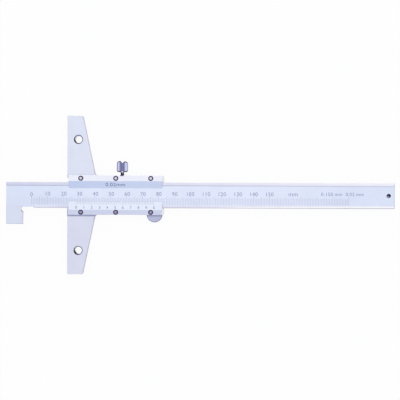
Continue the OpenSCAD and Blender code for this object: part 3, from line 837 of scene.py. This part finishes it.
def wing_chrome():
    """Polished chrome over a cast form, with upright ripples left by the casting.

    The fronts of the lobes are painted bright and their sides darker, as light and shade, and the
    left lobe's bright band is narrower than the right one's. The web between them and the lobes'
    ends are painted darker, as shade.
    """
    made, tree = new_material("polished_chrome_wing")
    texture = tree.nodes.new("ShaderNodeTexCoord").outputs
    along = add(tree, "ShaderNodeSeparateXYZ", {0: texture["Object"]}).outputs["X"]
    wing_left, wing_right = (corner.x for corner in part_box("lock_wing"))
    middle_x = (wing_left + wing_right) / 2
    aside = apart(tree, along, middle_x)
    turned = add(tree, "ShaderNodeVectorMath", {0: texture["Normal"]}, operation="ABSOLUTE")
    turned = add(tree, "ShaderNodeSeparateXYZ", {0: turned}).outputs
    # Painted light and shade: bright lobe fronts, darker sides, web and ends, with a narrower
    # bright band on the left lobe.
    narrow = add(tree, "ShaderNodeMapRange",
                 {"Value": along, "From Min": middle_x + MM, "From Max": middle_x - MM,
                  "To Min": 1.0, "To Max": 2.2})
    sideways = add(tree, "ShaderNodeMath", {0: turned["X"], 1: narrow}, operation="MULTIPLY")
    lobes = paint(tree, srgb(LOBE_CHROME), srgb(LOBE_SIDE_SHADE), (sideways, 0.3, 0.8))
    fronts = paint(tree, lobes, srgb(WEB_SHADE), (aside, WEB_HALF_WIDTH, WEB_HALF_WIDTH * 0.8))
    colour = paint(tree, fronts, srgb(LOBE_TIP_SHADE), (turned["Y"], 0.1, 0.5), (aside, *LOBE_ENDS))
    scale = [1 / (size * MM) for size in RIPPLE_MM]
    stretched = add(tree, "ShaderNodeMapping", {"Vector": texture["Object"], "Scale": scale})
    ripple = add(tree, "ShaderNodeTexNoise", {"Vector": stretched, "Scale": 1.0, "Detail": 2.0})
    tone = add(tree, "ShaderNodeMapRange",
               {"Value": ripple, "From Min": 0.3, "From Max": 0.7, "To Min": 0.86, "To Max": 1.1})
    toned = add(tree, "ShaderNodeVectorMath", {0: colour, "Scale": tone}, operation="SCALE")
    rough = add(tree, "ShaderNodeMapRange", {"Value": ripple, "To Min": 0.08, "To Max": 0.2})
    relief = add(tree, "ShaderNodeBump",
                 {"Height": ripple, "Strength": 0.15, "Distance": RIPPLE_DEPTH})
    shader = add(tree, "ShaderNodeBsdfPrincipled",
                 {"Base Color": toned, "Metallic": 1.0, "Roughness": rough, "Normal": relief})
    add(tree, "ShaderNodeOutputMaterial", {"Surface": shader})
    return made


def stud_black():
    """Black oxide on steel, darker towards the frame, with a painted highlight along its front.

    The plain collar under the wing is bare.
    """
    made, tree = new_material("black_oxide_stud")
    texture = tree.nodes.new("ShaderNodeTexCoord").outputs
    across = add(tree, "ShaderNodeSeparateXYZ", {0: texture["Object"]}).outputs["Y"]
    normal = add(tree, "ShaderNodeSeparateXYZ", {0: texture["Normal"]}).outputs
    grain = add(tree, "ShaderNodeTexNoise", {"Vector": texture["Object"], "Scale": 1 / OXIDE_GRAIN})
    wing_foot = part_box("lock_wing")[0].y
    # Painted highlight along the front of the thread.
    thread = paint(tree, srgb(STUD_BLACK), srgb(STUD_HIGHLIGHT),
                   (apart(tree, normal["X"], 0.15), 0.6, 0.1), (normal["Z"], 0.0, 0.3))
    # Darker towards the frame.
    thread = paint(tree, thread, srgb(STUD_DARKER), (across, wing_foot, wing_foot - DARKER_LENGTH))
    colour = paint(tree, thread, srgb(STUD_COLLAR), (across, wing_foot - BAND_EDGE, wing_foot))
    rough = add(tree, "ShaderNodeMapRange", {"Value": grain, "To Min": 0.25, "To Max": 0.45})
    shader = add(tree, "ShaderNodeBsdfPrincipled",
                 {"Base Color": colour, "Metallic": 1.0, "Roughness": rough})
    add(tree, "ShaderNodeOutputMaterial", {"Surface": shader})
    return made


def threaded_stud(low, high, thread_end):
    """Vertices and faces of a stud along +Y that fills the box from low to high.

    Its radius at a height and an angle is the full radius, less the thread's depth times a
    triangle wave of (height / pitch - angle / full turn). Past thread_end the shank is plain, and
    at the tip the radius is cut back by the bevel. Both ends are flat caps.
    """
    full = (high.x - low.x) / 2
    rings = int((high.y - low.y) / THREAD_PITCH * RINGS_PER_TURN)
    height = np.linspace(0, high.y - low.y, rings)[:, None]
    turn = (np.arange(THREAD_SIDES) / THREAD_SIDES)[None, :]
    wave = np.abs(2 * ((height / THREAD_PITCH - turn) % 1) - 1)
    radius = np.where(height + low.y < thread_end, full - THREAD_DEPTH * wave, full)
    radius = np.minimum(radius, full - STUD_TIP_BEVEL + height)
    angle = 2 * math.pi * turn
    x = (low.x + high.x) / 2 + radius * np.sin(angle)
    z = (low.z + high.z) / 2 + radius * np.cos(angle)
    points = np.stack([x, np.broadcast_to(height + low.y, x.shape), z], axis=-1).reshape(-1, 3)
    ring = np.arange(THREAD_SIDES)
    first = ring + THREAD_SIDES * np.arange(rings - 1)[:, None]
    after = (ring + 1) % THREAD_SIDES + THREAD_SIDES * np.arange(rings - 1)[:, None]
    sides = np.stack([first, after, after + THREAD_SIDES, first + THREAD_SIDES], axis=-1)
    top = ring + THREAD_SIDES * (rings - 1)
    return points, [*sides.reshape(-1, 4).tolist(), ring[::-1].tolist(), top.tolist()]


wing_material = wing_chrome()
dress("lock_wing", wing_material)
wing_points, wing_faces = cast_wing(*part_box("lock_wing"))
wing = new_piece("cast_wing", wing_points, wing_faces, wing_material,
                 "lock_screw", smooth=True)
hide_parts("lock_wing")
stud_material = stud_black()
dress("lock_stud", stud_material)
stud_points, stud_faces = threaded_stud(*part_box("lock_stud"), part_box("lock_wing")[0].y)
stud = new_piece("threaded_stud", stud_points, stud_faces, stud_material,
                 "lock_screw")
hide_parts("lock_stud")


# Floor and light
# A white bench in a white light tent. One large soft lamp stands beyond the lock screw, so that
# slopes that face it are pale and those that face away are a shade darker.

FLOOR_SIZE = 4.0
FLOOR_WHITE = "F4F4F6"
FLOOR_OWN_SHARE = 0.94
FLOOR_Z = -0.02 * MM
SHADE_REACH = 6 * MM
SHADED_OPENNESS = (0.6, 0.8)
SHADE_UNDER_HOLE = (2 * MM, 3 * MM)
DEEPEST_SHADE = "605C78"
SHADE_FROM_Y = (-0.7 * MM, 0.0 * MM)
TENT_TOP = "FFFFFF"
TENT_FOOT_NEAR = "5C5878"
TENT_FOOT_FAR = "E6E6F0"
LAMP_PLACE = (-0.15, 1.0, 0.55)
LAMP_SIZE = 0.8
LAMP_WATTS = 1.0


def seen_rays(tree):
    """1 for rays that look, from the camera, reflected or let through; 0 for those that light."""
    rays = tree.nodes.new("ShaderNodeLightPath").outputs
    either = add(tree, "ShaderNodeMath", {0: rays["Is Camera Ray"], 1: rays["Is Glossy Ray"]},
                 operation="MAXIMUM")
    return add(tree, "ShaderNodeMath", {0: either, 1: rays["Is Transmission Ray"]},
               operation="MAXIMUM")


def floor_white():
    """White card. Looked at, most of its tone is its own, so that it is white with a shadow.

    Under the beam's hanging hole all of the shadow shows, while the beam covers most of the sky
    close above the card there. It is deepest on the lamp's side, where the bore keeps the lamp
    off. Seen from below the card is clear, so that the gauge's back can be looked at.
    """
    made, tree = new_material("white_card")
    geometry = tree.nodes.new("ShaderNodeNewGeometry").outputs
    openness = add(tree, "ShaderNodeAmbientOcclusion", {"Distance": SHADE_REACH}, samples=8)
    under_hole = (beam_high.x - HANG_HOLE_INSET, 0, FLOOR_Z)
    away = add(tree, "ShaderNodeVectorMath", {0: geometry["Position"], 1: under_hole},
               operation="DISTANCE")
    bright = 0.0
    for measure, (start, end) in (
        (openness.outputs["AO"], SHADED_OPENNESS),
        (away.outputs["Value"], SHADE_UNDER_HOLE),
    ):
        ramp = add(tree, "ShaderNodeMapRange",
                   {"Value": measure, "From Min": start, "From Max": end})
        bright = add(tree, "ShaderNodeMath", {0: bright, 1: ramp}, operation="MAXIMUM")
    across = add(tree, "ShaderNodeSeparateXYZ", {0: geometry["Position"]}).outputs["Y"]
    tone = paint(tree, srgb(FLOOR_WHITE), srgb(DEEPEST_SHADE), (across, *SHADE_FROM_Y))
    tone = paint(tree, tone, srgb(FLOOR_WHITE), (bright, 0, 1))
    card = add(tree, "ShaderNodeBsdfDiffuse", {"Color": tone})
    glow = add(tree, "ShaderNodeEmission", {"Strength": 1.0})
    own = add(tree, "ShaderNodeMath", {0: bright, 1: FLOOR_OWN_SHARE}, operation="MULTIPLY")
    seen = add(tree, "ShaderNodeMath", {0: seen_rays(tree), 1: own}, operation="MULTIPLY")
    top = add(tree, "ShaderNodeMixShader", {0: seen, 1: card, 2: glow})
    clear = tree.nodes.new("ShaderNodeBsdfTransparent")
    mixed = add(tree, "ShaderNodeMixShader", {0: geometry["Backfacing"], 1: top, 2: clear})
    add(tree, "ShaderNodeOutputMaterial", {"Surface": mixed})
    return made


def light_tent():
    """World whose light falls off from the tent's top to its foot, which is dark on this side."""
    world = bpy.data.worlds.new("light_tent")
    bpy.context.scene.world = world
    world.use_nodes = True
    tree = world.node_tree
    tree.nodes.clear()
    direction = tree.nodes.new("ShaderNodeTexCoord").outputs["Generated"]
    direction = add(tree, "ShaderNodeSeparateXYZ", {0: direction}).outputs
    colour = paint(tree, srgb(TENT_FOOT_NEAR), srgb(TENT_FOOT_FAR), (direction["Y"], -0.9, 0.1))
    colour = paint(tree, colour, srgb(TENT_TOP), (direction["Z"], 0.0, 0.75))
    rays = tree.nodes.new("ShaderNodeLightPath").outputs
    colour = paint(tree, colour, srgb(TENT_TOP), (rays["Is Camera Ray"], 0, 1))
    background = add(tree, "ShaderNodeBackground", {"Color": colour, "Strength": 1.0})
    add(tree, "ShaderNodeOutputWorld", {"Surface": background})


half = FLOOR_SIZE / 2
floor_corners = [(-half, -half), (half, -half), (half, half), (-half, half)]
floor_mesh = bpy.data.meshes.new("floor")
floor_mesh.from_pydata([(x, y, FLOOR_Z) for x, y in floor_corners], [], [(0, 1, 2, 3)])
floor_mesh.materials.append(floor_white())
floor = bpy.data.objects.new("floor", floor_mesh)
bpy.context.scene.collection.objects.link(floor)
light_tent()

lamp_data = bpy.data.lights.new("soft_lamp", "AREA")
lamp_data.size = LAMP_SIZE
lamp_data.energy = LAMP_WATTS
lamp = bpy.data.objects.new("soft_lamp", lamp_data)
lamp.location = LAMP_PLACE
lamp.rotation_euler = (camera.location - lamp.location).xyz.to_track_quat("-Z", "Y").to_euler()
bpy.context.scene.collection.objects.link(lamp)

bpy.context.scene.view_settings.view_transform = "Standard"
